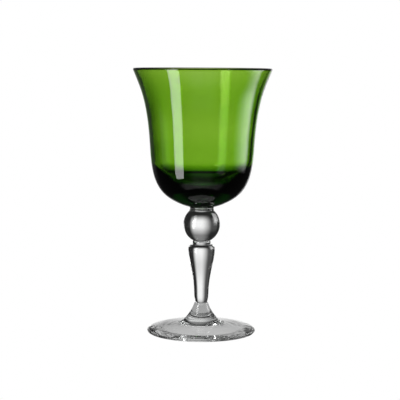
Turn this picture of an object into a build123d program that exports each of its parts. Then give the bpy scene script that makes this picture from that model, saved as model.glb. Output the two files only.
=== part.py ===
from build123d import *
import os
from math import asin, degrees, sqrt

# A wine glass: a flared bowl seated on a short clear stem of collar, ball knop,
# neck ring and tapered stem, which stands on a coned foot.
# Millimetres, +Z up, origin at the centre of the ring that the foot rests on.
# Every piece is a solid of revolution about Z, and neighbours meet face to face.

os.makedirs("parts", exist_ok=True)

# ---- driving dimensions ----
overall_height = 180.0
rim_radius = 47.0
foot_radius = 36.9

# heights of the joints, from the foot up
disc_top = 6.6
foot_neck_top = 20.4
stem_top = 60.4
ball_bottom = 63.1
ball_top = 83.4
bowl_bottom = 85.2

# bowl
lip_round = 1.0
flare_angle = 22.5
base_sphere = 38.0
base_reach = 16.0
floor_height = 94.5
floor_sphere = 34.0
floor_reach = 18.0
outer_wall = [
    (25.5, 94.8),
    (31.1, 103.0),
    (33.6, 111.2),
    (35.7, 131.5),
    (38.2, 151.8),
    (41.2, 163.9),
    (44.2, 172.0),
]
inner_wall = [
    (41.6, 171.6),
    (38.4, 163.5),
    (35.65, 152.0),
    (33.45, 134.0),
    (32.3, 121.0),
    (31.9, 117.0),
    (30.8, 113.0),
    (27.6, 107.3),
    (23.2, 102.5),
]

# collar under the bowl
collar_foot_radius = 8.05
collar_belly = (8.35, 84.3)
collar_waist = (8.25, 85.0)
collar_lip_radius = 10.0
collar_start_slope = (0.5, 1.0)
collar_end_slope = (1.0, 0.9)

# ball knop and the ring below it
ball_radius = 12.5
ball_height = 74.2
ring_top_radius = 5.7
ring_belly = (6.15, 61.9)
ring_foot_radius = 5.6

# tapered stem
stem_seat_radius = 6.5
shoulder = (8.8, 58.7)
taper_top = (9.1, 56.3)
taper_middle = [(7.35, 45.3), (5.0, 29.5)]
taper_end = (4.15, 21.3)
stem_end_radius = 3.6

# foot neck: the cone between stem and disc
neck_seat_radius = 4.3
neck_edge = (4.8, 19.7)
neck_sweep = [(6.3, 16.2), (9.0, 12.0), (11.6, 8.9), (14.4, 7.0)]
neck_root_radius = 15.0

# foot disc
crown_radius = 15.6
crown_fall = (1.0, -0.15)
crown_slope = [(22.0, 5.6), (28.5, 4.8), (33.5, 3.7), (36.2, 2.4)]
edge_height = 1.4
edge_underside = (36.2, 0.35)
rest_outer_radius = 35.0
rest_inner_radius = 28.5
recess_rise = (-1.0, 0.22)
recess = [(22.0, 1.6), (15.0, 2.9), (7.0, 3.9)]
recess_depth = 4.2


def dished_arc(lowest, sphere_radius, reach):
    """The arc of a sphere from its lowest point on the axis out to a radius."""
    sweep_angle = degrees(asin(reach / sphere_radius))
    return CenterArc((0, lowest + sphere_radius), sphere_radius, -90, sweep_angle)


# ---- bowl: one thick-walled vessel with a fire-rounded lip and a heavy base ----
with BuildPart() as bowl:
    with BuildSketch(Plane.XZ):
        with BuildLine():
            lip_centre = (rim_radius - lip_round, overall_height - lip_round)
            lip = CenterArc(lip_centre, lip_round, -flare_angle, 180)
            base = dished_arc(bowl_bottom, base_sphere, base_reach)
            floor = dished_arc(floor_height, floor_sphere, floor_reach)
            Spline(base @ 1, *outer_wall, lip @ 0, tangents=(base % 1, lip % 0))
            Spline(lip @ 1, *inner_wall, floor @ 1, tangents=(lip % 1, -(floor % 1)))
            Line(base @ 0, floor @ 0)
        make_face()
    revolve(axis=Axis.Z)

bowl.part.label = "bowl"
export_step(bowl.part, "parts/bowl.step")

# ---- bowl collar: the clear disc whose dished top takes the base of the bowl ----
with BuildPart() as bowl_collar:
    with BuildSketch(Plane.XZ):
        with BuildLine():
            seat = dished_arc(bowl_bottom, base_sphere, collar_lip_radius)
            Line(seat @ 0, (0, ball_top))
            Line((0, ball_top), (collar_foot_radius, ball_top))
            Spline(
                (collar_foot_radius, ball_top),
                collar_belly,
                collar_waist,
                seat @ 1,
                tangents=(collar_start_slope, collar_end_slope),
            )
        make_face()
    revolve(axis=Axis.Z)

bowl_collar.part.label = "bowl_collar"
export_step(bowl_collar.part, "parts/bowl_collar.step")

# ---- ball knop: a sphere cut flat where the collar and the ring are fused on ----
with BuildPart() as ball_knop:
    with BuildSketch(Plane.XZ):
        with BuildLine():
            top_cut = sqrt(ball_radius**2 - (ball_top - ball_height) ** 2)
            bottom_cut = sqrt(ball_radius**2 - (ball_height - ball_bottom) ** 2)
            Line((0, ball_bottom), (bottom_cut, ball_bottom))
            ThreePointArc((bottom_cut, ball_bottom), (ball_radius, ball_height), (top_cut, ball_top))
            Line((top_cut, ball_top), (0, ball_top))
            Line((0, ball_top), (0, ball_bottom))
        make_face()
    revolve(axis=Axis.Z)

ball_knop.part.label = "ball_knop"
export_step(ball_knop.part, "parts/ball_knop.step")

# ---- neck ring: the small waisted ring between the ball and the stem ----
with BuildPart() as neck_ring:
    with BuildSketch(Plane.XZ):
        with BuildLine():
            Line((0, stem_top), (ring_foot_radius, stem_top))
            ThreePointArc((ring_foot_radius, stem_top), ring_belly, (ring_top_radius, ball_bottom))
            Line((ring_top_radius, ball_bottom), (0, ball_bottom))
            Line((0, ball_bottom), (0, stem_top))
        make_face()
    revolve(axis=Axis.Z)

neck_ring.part.label = "neck_ring"
export_step(neck_ring.part, "parts/neck_ring.step")

# ---- tapered stem: an inverted baluster, widest at its rounded shoulder ----
with BuildPart() as tapered_stem:
    with BuildSketch(Plane.XZ):
        with BuildLine():
            Line((0, stem_top), (stem_seat_radius, stem_top))
            ThreePointArc((stem_seat_radius, stem_top), shoulder, taper_top)
            taper = Spline(taper_top, *taper_middle, taper_end)
            end_corner = (stem_end_radius, foot_neck_top)
            TangentArc(taper @ 1, end_corner, tangent=taper % 1)
            Line(end_corner, (0, foot_neck_top))
            Line((0, foot_neck_top), (0, stem_top))
        make_face()
    revolve(axis=Axis.Z)

tapered_stem.part.label = "tapered_stem"
export_step(tapered_stem.part, "parts/tapered_stem.step")

# ---- foot neck: the cone that spreads the stem onto the disc ----
with BuildPart() as foot_neck:
    with BuildSketch(Plane.XZ):
        with BuildLine():
            Line((0, foot_neck_top), (neck_seat_radius, foot_neck_top))
            sweep_line = Spline(neck_edge, *neck_sweep, (neck_root_radius, disc_top))
            TangentArc(sweep_line @ 0, (neck_seat_radius, foot_neck_top), tangent=-(sweep_line % 0))
            Line((neck_root_radius, disc_top), (0, disc_top))
            Line((0, disc_top), (0, foot_neck_top))
        make_face()
    revolve(axis=Axis.Z)

foot_neck.part.label = "foot_neck"
export_step(foot_neck.part, "parts/foot_neck.step")

# ---- foot disc: sloped above, dished below so that it rests on a ring, with a rounded edge ----
with BuildPart() as foot_disc:
    with BuildSketch(Plane.XZ):
        with BuildLine():
            Line((0, recess_depth), (0, disc_top))
            Line((0, disc_top), (crown_radius, disc_top))
            Spline(
                (crown_radius, disc_top),
                *crown_slope,
                (foot_radius, edge_height),
                edge_underside,
                (rest_outer_radius, 0),
                tangents=(crown_fall, (-1, 0)),
            )
            Line((rest_outer_radius, 0), (rest_inner_radius, 0))
            Spline(
                (rest_inner_radius, 0),
                *recess,
                (0, recess_depth),
                tangents=(recess_rise, (-1, 0)),
            )
        make_face()
    revolve(axis=Axis.Z)

foot_disc.part.label = "foot_disc"
export_step(foot_disc.part, "parts/foot_disc.step")
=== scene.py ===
import math

import bpy
import numpy as np
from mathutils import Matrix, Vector


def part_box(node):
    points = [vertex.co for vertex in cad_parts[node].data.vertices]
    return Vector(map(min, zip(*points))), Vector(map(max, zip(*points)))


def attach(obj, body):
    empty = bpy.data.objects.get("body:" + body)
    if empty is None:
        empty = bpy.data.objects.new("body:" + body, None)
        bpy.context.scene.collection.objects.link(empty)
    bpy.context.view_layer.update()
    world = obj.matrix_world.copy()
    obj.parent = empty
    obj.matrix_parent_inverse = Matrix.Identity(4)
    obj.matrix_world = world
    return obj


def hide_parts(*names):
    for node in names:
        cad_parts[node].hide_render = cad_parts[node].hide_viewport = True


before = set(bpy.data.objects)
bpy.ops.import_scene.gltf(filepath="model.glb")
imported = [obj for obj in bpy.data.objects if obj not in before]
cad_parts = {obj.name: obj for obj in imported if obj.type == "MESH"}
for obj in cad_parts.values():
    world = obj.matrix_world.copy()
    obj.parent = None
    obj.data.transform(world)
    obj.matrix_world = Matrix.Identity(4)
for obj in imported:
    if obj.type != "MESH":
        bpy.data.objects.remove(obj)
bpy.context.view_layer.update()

# A wine glass of seven gathers of glass, each turned as a piece of its own and fused to the next.
# Outlines are (radius, height) points. They are typed in millimetres and used in metres.
MM = 0.001
TURNS = 192             # facets round every turned piece
CURVE_STEP = 0.8 * MM   # spacing of the points along a curved outline
EDGE_STEP = 0.25 * MM   # the same along a lip or a rounded rim
BEAD_STEP = 0.1 * MM    # and along the small beads of the collar
FUSED_GAP = 0.01 * MM   # a face fused to its neighbour stands back by this much
LEVEL = 0.999           # how far a face turns upwards, or downwards, for it to count as level
CREASE = 32             # degrees between two faces that show as an edge
GLASS_INDEX = 1.5       # how strongly the glass bends light
BASE_SPHERE = 38 * MM   # the bowl's base, and the dish of the collar that takes it


# ---------------------------------------------------------------- outlines
def mm(*points):
    """Outline points typed in millimetres."""
    return [(radius * MM, height * MM) for radius, height in points]


def span(node):
    """Where a node starts, where it ends, and its widest radius."""
    low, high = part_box(node)
    return low.z, high.z, high.x


def heading(degrees):
    """The direction of a line that climbs at this angle, as (outwards, upwards)."""
    return math.cos(math.radians(degrees)), math.sin(math.radians(degrees))


def fair_curve(points, start=None, end=None, step=CURVE_STEP):
    """A smooth line through the points. It leaves and arrives along the given directions."""
    knots = np.array(points, float)
    spans = np.linalg.norm(np.diff(knots, axis=0), axis=1)
    count = len(knots)
    system = np.zeros((count, count))
    wanted = np.zeros((count, 2))
    for i in range(1, count - 1):
        before, after = 1 / spans[i - 1], 1 / spans[i]
        system[i, i - 1 : i + 2] = before, 2 * (before + after), after
        wanted[i] = 3 * (before**2 * (knots[i] - knots[i - 1]) + after**2 * (knots[i + 1] - knots[i]))
    for row, beside, width, way, chord in (
        (0, 1, spans[0], start, knots[1] - knots[0]),
        (count - 1, count - 2, spans[-1], end, knots[-1] - knots[-2]),
    ):
        system[row, row] = 1
        if way is None:
            system[row, row], system[row, beside] = 2, 1
            wanted[row] = 3 * chord / width
        else:
            wanted[row] = np.array(way) / np.hypot(*way)
    slopes = np.linalg.solve(system, wanted)
    line = [knots[0]]
    for i, width in enumerate(spans):
        pieces = max(2, math.ceil(width / step))
        for t in np.arange(1, pieces + 1) / pieces:
            line.append(
                (1 + 2 * t) * (1 - t) ** 2 * knots[i]
                + t * (1 - t) ** 2 * width * slopes[i]
                + t * t * (3 - 2 * t) * knots[i + 1]
                + t * t * (t - 1) * width * slopes[i + 1]
            )
    return [(float(radius), float(height)) for radius, height in line]


def arc(centre, radius, first, last, step=CURVE_STEP):
    """Points along an arc, from one angle to another in degrees, counted from straight outwards."""
    sweep = math.radians(last - first)
    pieces = max(4, math.ceil(abs(sweep) * radius / step))
    angles = [math.radians(first) + sweep * i / pieces for i in range(pieces + 1)]
    return [(centre[0] + radius * math.cos(a), centre[1] + radius * math.sin(a)) for a in angles]


def slope_at(reach, sphere_radius):
    """How steeply a sphere climbs at a distance from the axis, in degrees."""
    return math.degrees(math.asin(reach / sphere_radius))


def dished(lowest, sphere_radius, reach):
    """The arc of a sphere from its lowest point on the axis out to a radius."""
    return arc((0, lowest + sphere_radius), sphere_radius, -90, slope_at(reach, sphere_radius) - 90)


def joined(*runs):
    """Runs of outline points as one outline, with no point twice in a row."""
    outline = []
    for run in runs:
        for point in run:
            if not outline or math.dist(outline[-1], point) > FUSED_GAP / 10:
                outline.append(point)
    return outline


# ---------------------------------------------------------------- glassmaking
def turned(name, outline):
    """A piece turned round the axis: its outline drawn point by point, then spun once round."""
    bpy.ops.object.select_all(action="DESELECT")
    first = outline[0]
    bpy.ops.mesh.primitive_plane_add(size=MM, location=(first[0], 0, first[1]))
    piece = bpy.context.object
    piece.name = piece.data.name = name
    bpy.ops.object.mode_set(mode="EDIT")
    bpy.ops.mesh.select_all(action="SELECT")
    bpy.ops.mesh.merge(type="CENTER")
    for here, there in zip(outline, outline[1:]):
        step = (there[0] - here[0], 0, there[1] - here[1])
        bpy.ops.mesh.extrude_vertices_move(TRANSFORM_OT_translate={"value": step})
    bpy.ops.mesh.select_all(action="SELECT")
    bpy.ops.mesh.spin(steps=TURNS, angle=math.tau, center=(0, 0, 0), axis=(0, 0, 1))
    bpy.ops.mesh.select_all(action="SELECT")
    bpy.ops.mesh.remove_doubles(threshold=FUSED_GAP / 5)
    bpy.ops.mesh.normals_make_consistent(inside=False)
    bpy.ops.object.mode_set(mode="OBJECT")
    bpy.ops.object.transform_apply(location=True, rotation=True, scale=True)
    bpy.ops.object.shade_smooth_by_angle(angle=math.radians(CREASE))
    return piece


def turned_solid(name, side):
    """A solid piece, whose side is given and whose flat ends close it in to the axis."""
    return turned(name, joined([(0, side[0][1])], side, [(0, side[-1][1])]))


def risen(value, still, lively):
    """0 up to one value, 1 past another, and a straight rise between them."""
    return min(1, max(0, (value - still) / (lively - still)))


def worked(piece, height, length, shows):
    """Slow waves left in hot glass by the tools. shows(radius, z) says how far they do, from 0 to 1."""
    group = piece.vertex_groups.new(name="tool_waves")
    for vertex in piece.data.vertices:
        weight = shows(vertex.co.xy.length, vertex.co.z)
        if weight > 0:
            group.add([vertex.index], weight, "REPLACE")
    waves = bpy.data.textures.new(piece.name + "_waves", "CLOUDS")
    waves.noise_scale = length
    waves.noise_depth = 1
    modifier = piece.modifiers.new("tool_waves", "DISPLACE")
    modifier.texture = waves
    modifier.texture_coords = "LOCAL"
    modifier.strength = height
    modifier.mid_level = 0.5    # as far in as out
    modifier.vertex_group = group.name
    bpy.context.view_layer.objects.active = piece
    bpy.ops.object.modifier_apply(modifier=modifier.name)


def fuse(piece, is_joint):
    """Marks the faces fused to a neighbour, picked by radius, height and how far they face upwards."""
    mark = piece.data.attributes.new("fused", "FLOAT", "FACE")
    for face in piece.data.polygons:
        centre = face.center
        mark.data[face.index].value = float(is_joint(centre.xy.length, centre.z, face.normal.z))


def stand_for(piece, node, material):
    """The finished piece takes the place of its plain node."""
    piece.data.materials.clear()
    piece.data.materials.append(material)
    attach(piece, "root")
    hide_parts(node)


# ---------------------------------------------------------------- finishes
def wired(tree, kind, *values, **settings):
    """A node with its settings made and its inputs, in order, joined to sockets or set to numbers."""
    node = tree.nodes.new(kind)
    for setting, value in settings.items():
        setattr(node, setting, value)
    for socket, value in zip(node.inputs, values):
        if isinstance(value, bpy.types.NodeSocket):
            tree.links.new(value, socket)
        elif value is not None:
            socket.default_value = value
    return node.outputs[0]


def glass(name, cord_tint, wave_size, wave_depth, smear):
    """Polished glass: faintly tinted cords, slow waves, and a film of handling on its skin."""
    material = bpy.data.materials.new(name)
    material.use_nodes = True
    tree = material.node_tree
    skin = tree.nodes["Principled BSDF"]
    skin.inputs["Transmission Weight"].default_value = 1.0
    place = tree.nodes.new("ShaderNodeTexCoord").outputs["Object"]

    # cords of tinted melt, drawn out round the axis as the gather turned
    cord_size, cord_detail, cord_roughness = 34.0, 3.0, 0.55
    drawn_out = wired(tree, "ShaderNodeMapping", place, None, None, (1.0, 1.0, 5.0))
    cords = wired(tree, "ShaderNodeTexNoise", drawn_out, None, cord_size, cord_detail, cord_roughness)
    tint = tree.nodes.new("ShaderNodeMix")
    tint.data_type = "RGBA"
    tree.links.new(cords, tint.inputs["Factor"])
    tint.inputs["A"].default_value = (1, 1, 1, 1)
    tint.inputs["B"].default_value = cord_tint
    tree.links.new(tint.outputs["Result"], skin.inputs["Base Color"])

    # a film of handling dulls the polish here and there
    film_size, film_detail, film_roughness = 55.0, 4.0, 0.6
    clean, greasy = 0.52, 0.8
    film = wired(tree, "ShaderNodeTexNoise", place, None, film_size, film_detail, film_roughness)
    dulled = wired(tree, "ShaderNodeMapRange", film, clean, greasy, 0.0, smear)
    tree.links.new(dulled, skin.inputs["Roughness"])

    # slow waves of the fire-polished skin
    wave_detail, wave_roughness = 1.0, 0.4
    waves = wired(tree, "ShaderNodeTexNoise", place, None, wave_size, wave_detail, wave_roughness)
    bump = tree.nodes.new("ShaderNodeBump")
    bump.inputs["Strength"].default_value = 1.0
    bump.inputs["Distance"].default_value = wave_depth
    tree.links.new(waves, bump.inputs["Height"])
    tree.links.new(bump.outputs["Normal"], skin.inputs["Normal"])

    # light crosses a fused joint without bending
    joint = tree.nodes.new("ShaderNodeAttribute")
    joint.attribute_name = "fused"
    index = wired(tree, "ShaderNodeMapRange", joint.outputs["Fac"], 0.0, 1.0, GLASS_INDEX, 1.0)
    tree.links.new(index, skin.inputs["IOR"])
    return material


def clear_crystal():
    """Colourless, with the faintest cool cast where a cord runs."""
    cord_tint = (0.975, 0.985, 0.98, 1)
    return glass("clear_crystal", cord_tint, wave_size=70.0, wave_depth=0.01 * MM, smear=0.015)


def grass_green_melt():
    """Grass green all through: the deeper the glass, the darker and purer the green."""
    cord_tint = (0.96, 0.985, 0.93, 1)
    material = glass("grass_green_melt", cord_tint, wave_size=45.0, wave_depth=0.01 * MM, smear=0.02)
    tree = material.node_tree
    colour = tree.nodes.new("ShaderNodeVolumeAbsorption")
    colour.inputs["Density"].default_value = 780
    colour.inputs["Color"].default_value = (0.60, 0.797, 0.052, 1)
    tree.links.new(colour.outputs["Volume"], tree.nodes["Material Output"].inputs["Volume"])
    return material


# ---------------------------------------------------------------- bowl
def make_bowl(material):
    """A flared bowl with a fire-rounded lip, and a base of solid glass under its rounded floor."""
    bottom, top, rim = span("bowl")
    base_reach = 16 * MM
    floor_sphere, floor_reach, floor_height = 34 * MM, 18 * MM, 94.5 * MM
    lip_round, flare = 1.0 * MM, 22.5
    base = dished(bottom, BASE_SPHERE, base_reach)
    floor = dished(floor_height, floor_sphere, floor_reach)
    lip_centre = (rim - lip_round, top - lip_round)
    lip = arc(lip_centre, lip_round, -flare, 180 - flare, EDGE_STEP)
    outer_wall = mm(
        (25.5, 94.8), (31.1, 103.0), (33.6, 111.2), (35.7, 131.5),
        (38.2, 151.8), (41.2, 163.9), (44.2, 172.0),
    )
    inner_wall = mm(
        (41.6, 171.6), (38.4, 163.5), (35.65, 152.0), (33.45, 134.0), (32.3, 121.0),
        (31.9, 117.0), (30.8, 113.0), (27.6, 107.3), (23.2, 102.5),
    )
    outside = fair_curve(
        [base[-1], *outer_wall, lip[0]],
        start=heading(slope_at(base_reach, BASE_SPHERE)),
        end=heading(90 - flare),
    )
    inside = fair_curve(
        [lip[-1], *inner_wall, floor[-1]],
        start=heading(270 - flare),
        end=heading(180 + slope_at(floor_reach, floor_sphere)),
    )
    bowl = turned("bowl_shell", joined(base, outside, lip, inside, floor[::-1]))
    worked(bowl, height=0.06 * MM, length=22 * MM, shows=lambda radius, z: risen(z, 100 * MM, 110 * MM))
    collar_top, collar_reach = span("bowl_collar")[1:]
    fuse(bowl, lambda radius, z, up: up < 0 and radius < collar_reach and z < collar_top)
    stand_for(bowl, "bowl", material)


# ---------------------------------------------------------------- stem
def make_collar(material):
    """The short clear disc whose dished top takes the base of the bowl. Two beads run round its side."""
    bottom, reach = span("bowl_collar")[::2]
    bowl_bottom = span("bowl")[0]
    foot = (8.05 * MM, bottom + FUSED_GAP)
    seat = [(radius, z - FUSED_GAP) for radius, z in dished(bowl_bottom, BASE_SPHERE, reach)]
    beads = mm((8.5, 86.15), (8.2, 85.7), (8.15, 85.2), (7.85, 84.85), (8.2, 84.5), (8.25, 84.0))
    side = fair_curve([seat[-1], *beads, foot], start=(-1, -0.5), end=(0, -1), step=BEAD_STEP)
    collar = turned("collar_ring", joined(seat, side, [(0, foot[1])]))
    seat_bottom = bowl_bottom - 5 * FUSED_GAP
    dish_up = 0.8   # the dished top faces upwards more than this, all over
    fuse(collar, lambda radius, z, up: (z > seat_bottom and up > dish_up) or up < -LEVEL)
    stand_for(collar, "bowl_collar", material)


def make_ball(material):
    """The solid ball, cut flat above and below where the collar and the ring are fused on."""
    bottom, top, radius = span("ball_knop")
    centre = 74.2 * MM
    low_cut = math.degrees(math.asin((bottom + FUSED_GAP - centre) / radius))
    high_cut = math.degrees(math.asin((top - FUSED_GAP - centre) / radius))
    side = arc((0, centre), radius, low_cut, high_cut)
    ball = turned_solid("ball_knop_glass", side)
    collar_foot, ring_top = 8.05 * MM, 5.72 * MM
    fuse(ball, lambda r, z, up: abs(up) > LEVEL and r < (collar_foot if z > centre else ring_top))
    stand_for(ball, "ball_knop", material)


def make_neck_ring(material):
    """The small bead of glass between the ball and the stem."""
    bottom, top, reach = span("neck_ring")
    side = fair_curve([(5.6 * MM, bottom + FUSED_GAP), (reach, 61.9 * MM), (5.7 * MM, top - FUSED_GAP)])
    ring = turned_solid("neck_ring_glass", side)
    fuse(ring, lambda radius, z, up: abs(up) > LEVEL)
    stand_for(ring, "neck_ring", material)


def make_stem(material):
    """An inverted baluster, widest at its rounded shoulder and drawn thin above the foot."""
    bottom, top = span("tapered_stem")[:2]
    side = fair_curve(
        [
            (3.6 * MM, bottom + FUSED_GAP),
            *mm((4.15, 21.3), (5.0, 29.5), (7.35, 45.3), (9.1, 56.3), (8.8, 58.7)),
            (6.5 * MM, top - FUSED_GAP),
        ],
        start=(1, 0.4),
        end=(-1, 0.15),
    )
    stem = turned_solid("stem_glass", side)
    middle, ring_foot = (bottom + top) / 2, 5.6 * MM
    fuse(stem, lambda radius, z, up: abs(up) > LEVEL and (z < middle or radius < ring_foot))
    stand_for(stem, "tapered_stem", material)


# ---------------------------------------------------------------- foot
def make_foot_neck(material):
    """The cone that spreads the thin end of the stem onto the disc."""
    bottom, top = span("foot_neck")[:2]
    side = fair_curve(
        [
            (15.0 * MM, bottom + FUSED_GAP),
            *mm((14.4, 7.0), (11.6, 8.9), (9.0, 12.0), (6.3, 16.2), (4.8, 19.7)),
            (4.3 * MM, top - FUSED_GAP),
        ],
        start=(-0.2, 1),
        end=(-1, 0.2),
    )
    neck = turned_solid("foot_neck_glass", side)
    middle, stem_end = (bottom + top) / 2, 3.6 * MM
    fuse(neck, lambda radius, z, up: abs(up) > LEVEL and (z < middle or radius < stem_end))
    stand_for(neck, "foot_neck", material)


def make_foot_disc(material):
    """The round foot: sloped above, hollowed below, and resting on the ring inside its edge."""
    bottom, top, rim = span("foot_disc")
    neck_reach = span("foot_neck")[2]
    crown = [(0, top - FUSED_GAP), (15.6 * MM, top - FUSED_GAP)]
    slope = fair_curve([crown[-1], *mm((22.0, 5.6), (28.5, 4.8))])
    edge = fair_curve(
        [slope[-1], *mm((33.5, 3.7), (36.2, 2.4)), (rim, 1.4 * MM), *mm((36.2, 0.35)), (35.0 * MM, bottom)],
        end=(-1, 0),
        step=EDGE_STEP,
    )
    hollow = fair_curve(
        [(28.5 * MM, bottom), *mm((22.0, 1.6), (15.0, 2.9), (7.0, 3.9), (0, 4.2))],
        start=(-1, 0.22),
        end=(-1, 0),
    )
    disc = turned("foot_disc_glass", joined(crown, slope, edge, hollow))
    above_rest = bottom + 0.3 * MM
    worked(
        disc,
        height=0.3 * MM,
        length=6 * MM,
        shows=lambda radius, z: risen(radius, 24 * MM, 32 * MM) if z > above_rest else 0,
    )
    fuse(disc, lambda radius, z, up: up > LEVEL and radius < neck_reach)
    stand_for(disc, "foot_disc", material)


# ---------------------------------------------------------------- studio
# The soft lights stand far off, so each is a patch of the sky round the glass. A patch has a span in
# azimuth, in degrees from straight behind the glass and turning right, and one in height above the table.
# A span is four angles: the light rises from nothing over the first two and falls again over the last two.
BEHIND = (-25, 2, 16, 32)
TABLE_IN_FRONT = (-62, -54, -28, -20)
POOL_IN_FRONT = (-62, -57, -47, -39)
GLOWS = (
    # azimuth, height, brightness
    (BEHIND, (-29, -11, -5, 23), 0.98),                    # backdrop
    ((-52, -40, -22, 0), (-24, -8, 2, 20), 0.06),          # its dim left shoulder
    (BEHIND, (4, 20, 42, 56), 0.2),                        # and its dim top
    ((-104, -98, -82, -76), (-20, -12, 8, 16), 0.2),       # left fill
    ((122, 130, 140, 148), (-30, -22, -8, -2), 0.5),       # front right fill
    ((-181, -180, -165, -145), TABLE_IN_FRONT, 0.13),      # table in front, left half
    ((145, 165, 180, 181), TABLE_IN_FRONT, 0.13),          # and its right half
    ((-181, -180, -130, -105), POOL_IN_FRONT, 0.35),       # pool of light on that table, left half
    ((105, 130, 180, 181), POOL_IN_FRONT, 0.25),           # and its right half
)
ROOM_DARK = 0.02    # all the rest of the room
# patches further round, which are only seen through the glass: its mirror reflections leave them out
THROUGH_GLOWS = (
    ((-62, -54, -36, -28), (-38, -34, -15, -8), 0.4),
    ((-106, -98, -82, -74), (-14, -10, 6, 12), 0.4),
)

# the tall strip light at the front left: an azimuth span in degrees, and distances in metres
STRIP_SPAN = (-138.0, -117.0)
STRIP_DISTANCE = 1.0
STRIP_NEAR = 0.20    # where the band that it lights on the table begins
STRIP_TOP = 1.3
STRIP_LIGHT = 6.0

# the softbox close by on the right: four angles as for a patch, and four heights in metres
PANEL_SPAN = (62, 74, 80, 116)
PANEL_HEIGHTS = (0.03, 0.09, 0.10, 0.28)
PANEL_DISTANCE = 0.27
PANEL_LIGHT = 3.6

# the table, and the pool of light on it under the foot, both just clear of the glass
TABLE_SIDES = 96
TABLE_RADIUS = 40
TABLE_DROP = 0.1 * MM
POOL_RADIUS = 37 * MM
POOL_DROP = 0.05 * MM
POOL_LIGHT = 0.6
POOL_MIRRORED = 0.4  # its light where another piece of glass mirrors the foot

# the camera and its long lens
CAMERA_PLACE = (0, -0.92, 0.187)
CAMERA_AIM = (-0.0013, 0, 0.0907)
CAMERA_ROLL = 0.35   # degrees
CAMERA_LENS = 122.45


def window(tree, value, span_of_four):
    """1 inside a span, 0 outside it, and a smooth rise and fall between."""
    nought, full, still_full, gone = span_of_four
    smooth = {"interpolation_type": "SMOOTHSTEP"}
    rising = wired(tree, "ShaderNodeMapRange", value, nought, full, 0.0, 1.0, **smooth)
    falling = wired(tree, "ShaderNodeMapRange", value, still_full, gone, 1.0, 0.0, **smooth)
    return wired(tree, "ShaderNodeMath", rising, falling, operation="MULTIPLY")


def azimuth_of(tree, way):
    """Degrees from straight behind the glass, turning right, of a direction split into X, Y and Z."""
    turn = wired(tree, "ShaderNodeMath", way.outputs["X"], way.outputs["Y"], operation="ARCTAN2")
    return wired(tree, "ShaderNodeMath", turn, operation="DEGREES")


def patches(tree, azimuth, height, glows, light):
    """The given light with every patch added to it."""
    for across, upwards, brightness in glows:
        sides, ends = window(tree, azimuth, across), window(tree, height, upwards)
        patch = wired(tree, "ShaderNodeMath", sides, ends, operation="MULTIPLY")
        light = wired(tree, "ShaderNodeMath", patch, brightness, light, operation="MULTIPLY_ADD")
    return light


def studio_world():
    """The patches of light round the glass. Past the glass, the camera sees plain white."""
    world = bpy.data.worlds.new("studio")
    world.use_nodes = True
    tree = world.node_tree
    sky = tree.nodes.new("ShaderNodeTexCoord")
    way = tree.nodes.new("ShaderNodeSeparateXYZ")
    tree.links.new(sky.outputs["Generated"], way.inputs["Vector"])
    azimuth = azimuth_of(tree, way)
    climb = wired(tree, "ShaderNodeMath", way.outputs["Z"], operation="ARCSINE")
    height = wired(tree, "ShaderNodeMath", climb, operation="DEGREES")
    light = patches(tree, azimuth, height, GLOWS, ROOM_DARK)
    through = patches(tree, azimuth, height, THROUGH_GLOWS, 0.0)
    paths = tree.nodes.new("ShaderNodeLightPath")
    is_through = paths.outputs["Is Transmission Ray"]
    light = wired(tree, "ShaderNodeMath", is_through, through, light, operation="MULTIPLY_ADD")
    shown = wired(tree, "ShaderNodeMath", paths.outputs["Is Camera Ray"], light, operation="MAXIMUM")
    background = tree.nodes["Background"]
    background.inputs["Color"].default_value = (1, 1, 1, 1)
    tree.links.new(shown, background.inputs["Strength"])
    bpy.context.scene.world = world


def emitter(name, strength):
    """A white light of even strength."""
    material = bpy.data.materials.new(name)
    material.use_nodes = True
    tree = material.node_tree
    tree.nodes.clear()
    glow = tree.nodes.new("ShaderNodeEmission")
    out = tree.nodes.new("ShaderNodeOutputMaterial")
    tree.links.new(glow.outputs["Emission"], out.inputs["Surface"])
    glow.inputs["Color"].default_value = (1, 1, 1, 1)
    glow.inputs["Strength"].default_value = strength
    return material


def left_strip():
    """A tall strip light, and the wedge of table that it lights in front of it."""
    bpy.ops.object.select_all(action="DESELECT")
    bpy.ops.mesh.primitive_plane_add(size=1)
    strip = bpy.context.object
    strip.name = "left_strip_light"
    ends = [(distance, math.radians(a)) for distance in (STRIP_NEAR, STRIP_DISTANCE) for a in STRIP_SPAN]
    for vertex, (distance, turn) in zip(strip.data.vertices, ends):
        vertex.co = (distance * math.sin(turn), distance * math.cos(turn), 0)
    bpy.ops.object.mode_set(mode="EDIT")
    bpy.ops.mesh.select_mode(type="EDGE")
    bpy.ops.mesh.select_all(action="DESELECT")
    bpy.ops.object.mode_set(mode="OBJECT")
    points = strip.data.vertices
    far_edge = max(strip.data.edges, key=lambda edge: sum(points[v].co.length for v in edge.vertices))
    far_edge.select = True
    bpy.ops.object.mode_set(mode="EDIT")
    bpy.ops.mesh.extrude_region_move(TRANSFORM_OT_translate={"value": (0, 0, STRIP_TOP)})
    bpy.ops.mesh.select_mode(type="VERT")
    bpy.ops.object.mode_set(mode="OBJECT")
    strip.data.materials.append(emitter("strip_light", STRIP_LIGHT))
    strip.visible_camera = False


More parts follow.
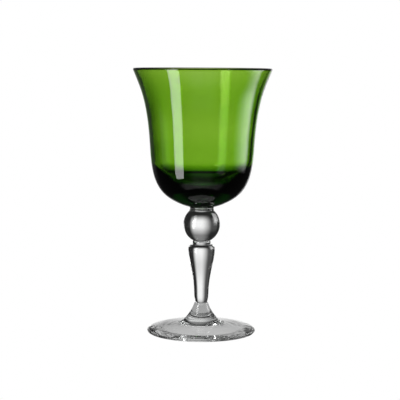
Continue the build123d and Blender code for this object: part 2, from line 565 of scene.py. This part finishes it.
def right_panel():
    """A softbox at the right, brightest low down and towards its back edge."""
    bpy.ops.object.select_all(action="DESELECT")
    bpy.ops.mesh.primitive_plane_add(size=1)
    panel = bpy.context.object
    panel.name = "right_panel_light"
    corners = [(z, math.radians(a)) for z in PANEL_HEIGHTS[::3] for a in PANEL_SPAN[::3]]
    for vertex, (z, turn) in zip(panel.data.vertices, corners):
        vertex.co = (PANEL_DISTANCE * math.sin(turn), PANEL_DISTANCE * math.cos(turn), z)
    material = emitter("soft_panel", PANEL_LIGHT)
    tree = material.node_tree
    place = tree.nodes.new("ShaderNodeTexCoord")
    way = tree.nodes.new("ShaderNodeSeparateXYZ")
    tree.links.new(place.outputs["Object"], way.inputs["Vector"])
    sides = window(tree, azimuth_of(tree, way), PANEL_SPAN)
    ends = window(tree, way.outputs["Z"], PANEL_HEIGHTS)
    soft = wired(tree, "ShaderNodeMath", sides, ends, operation="MULTIPLY")
    light = wired(tree, "ShaderNodeMath", soft, PANEL_LIGHT, operation="MULTIPLY")
    tree.links.new(light, tree.nodes["Emission"].inputs["Strength"])
    panel.data.materials.append(material)
    panel.visible_camera = False


def lit_table():
    """The pool of light under the foot. The glass shows it only through its own thickness."""
    bpy.ops.object.select_all(action="DESELECT")
    bpy.ops.mesh.primitive_circle_add(
        vertices=TABLE_SIDES, radius=POOL_RADIUS, fill_type="NGON", location=(0, 0, -POOL_DROP)
    )
    pool = bpy.context.object
    pool.name = "lit_table"
    material = emitter("lit_table", POOL_LIGHT)
    tree = material.node_tree
    mirrors = tree.nodes.new("ShaderNodeLightPath").outputs["Glossy Depth"]
    light = wired(tree, "ShaderNodeMapRange", mirrors, 0.0, 1.0, POOL_LIGHT, POOL_MIRRORED)
    tree.links.new(light, tree.nodes["Emission"].inputs["Strength"])
    pool.data.materials.append(material)
    pool.visible_camera = False
    pool.visible_glossy = False


def white_floor():
    """A plain white table, which only the camera sees: what the glass shows of it is in the sky patches."""
    bpy.ops.object.select_all(action="DESELECT")
    bpy.ops.mesh.primitive_circle_add(
        vertices=TABLE_SIDES, radius=TABLE_RADIUS, fill_type="NGON", location=(0, 0, -TABLE_DROP)
    )
    floor = bpy.context.object
    floor.name = "floor"
    floor.data.materials.append(emitter("white_floor", 1.0))
    floor.visible_glossy = False
    floor.visible_transmission = False
    floor.visible_diffuse = False
    floor.visible_shadow = False


def place_camera():
    """In front of the glass, a little above its lip, with a long lens."""
    bpy.ops.object.camera_add(location=CAMERA_PLACE)
    camera = bpy.context.object
    aim = Vector(CAMERA_AIM) - camera.location
    camera.rotation_euler = aim.to_track_quat("-Z", "Y").to_euler()
    camera.rotation_euler.rotate_axis("Z", math.radians(CAMERA_ROLL))
    camera.data.lens = CAMERA_LENS
    camera.data.sensor_width = 36
    bpy.context.scene.camera = camera


def render_settings():
    """White stays white, and light may pass through every wall of the glass."""
    scene = bpy.context.scene
    scene.view_settings.view_transform = "Standard"
    scene.cycles.max_bounces = 32
    scene.cycles.transmission_bounces = 32
    scene.cycles.glossy_bounces = 16
    scene.cycles.blur_glossy = 0.0


green = grass_green_melt()
clear = clear_crystal()
make_bowl(green)
make_collar(clear)
make_ball(clear)
make_neck_ring(clear)
make_stem(clear)
make_foot_neck(clear)
make_foot_disc(clear)

studio_world()
lit_table()
left_strip()
right_panel()
white_floor()
place_camera()
render_settings()
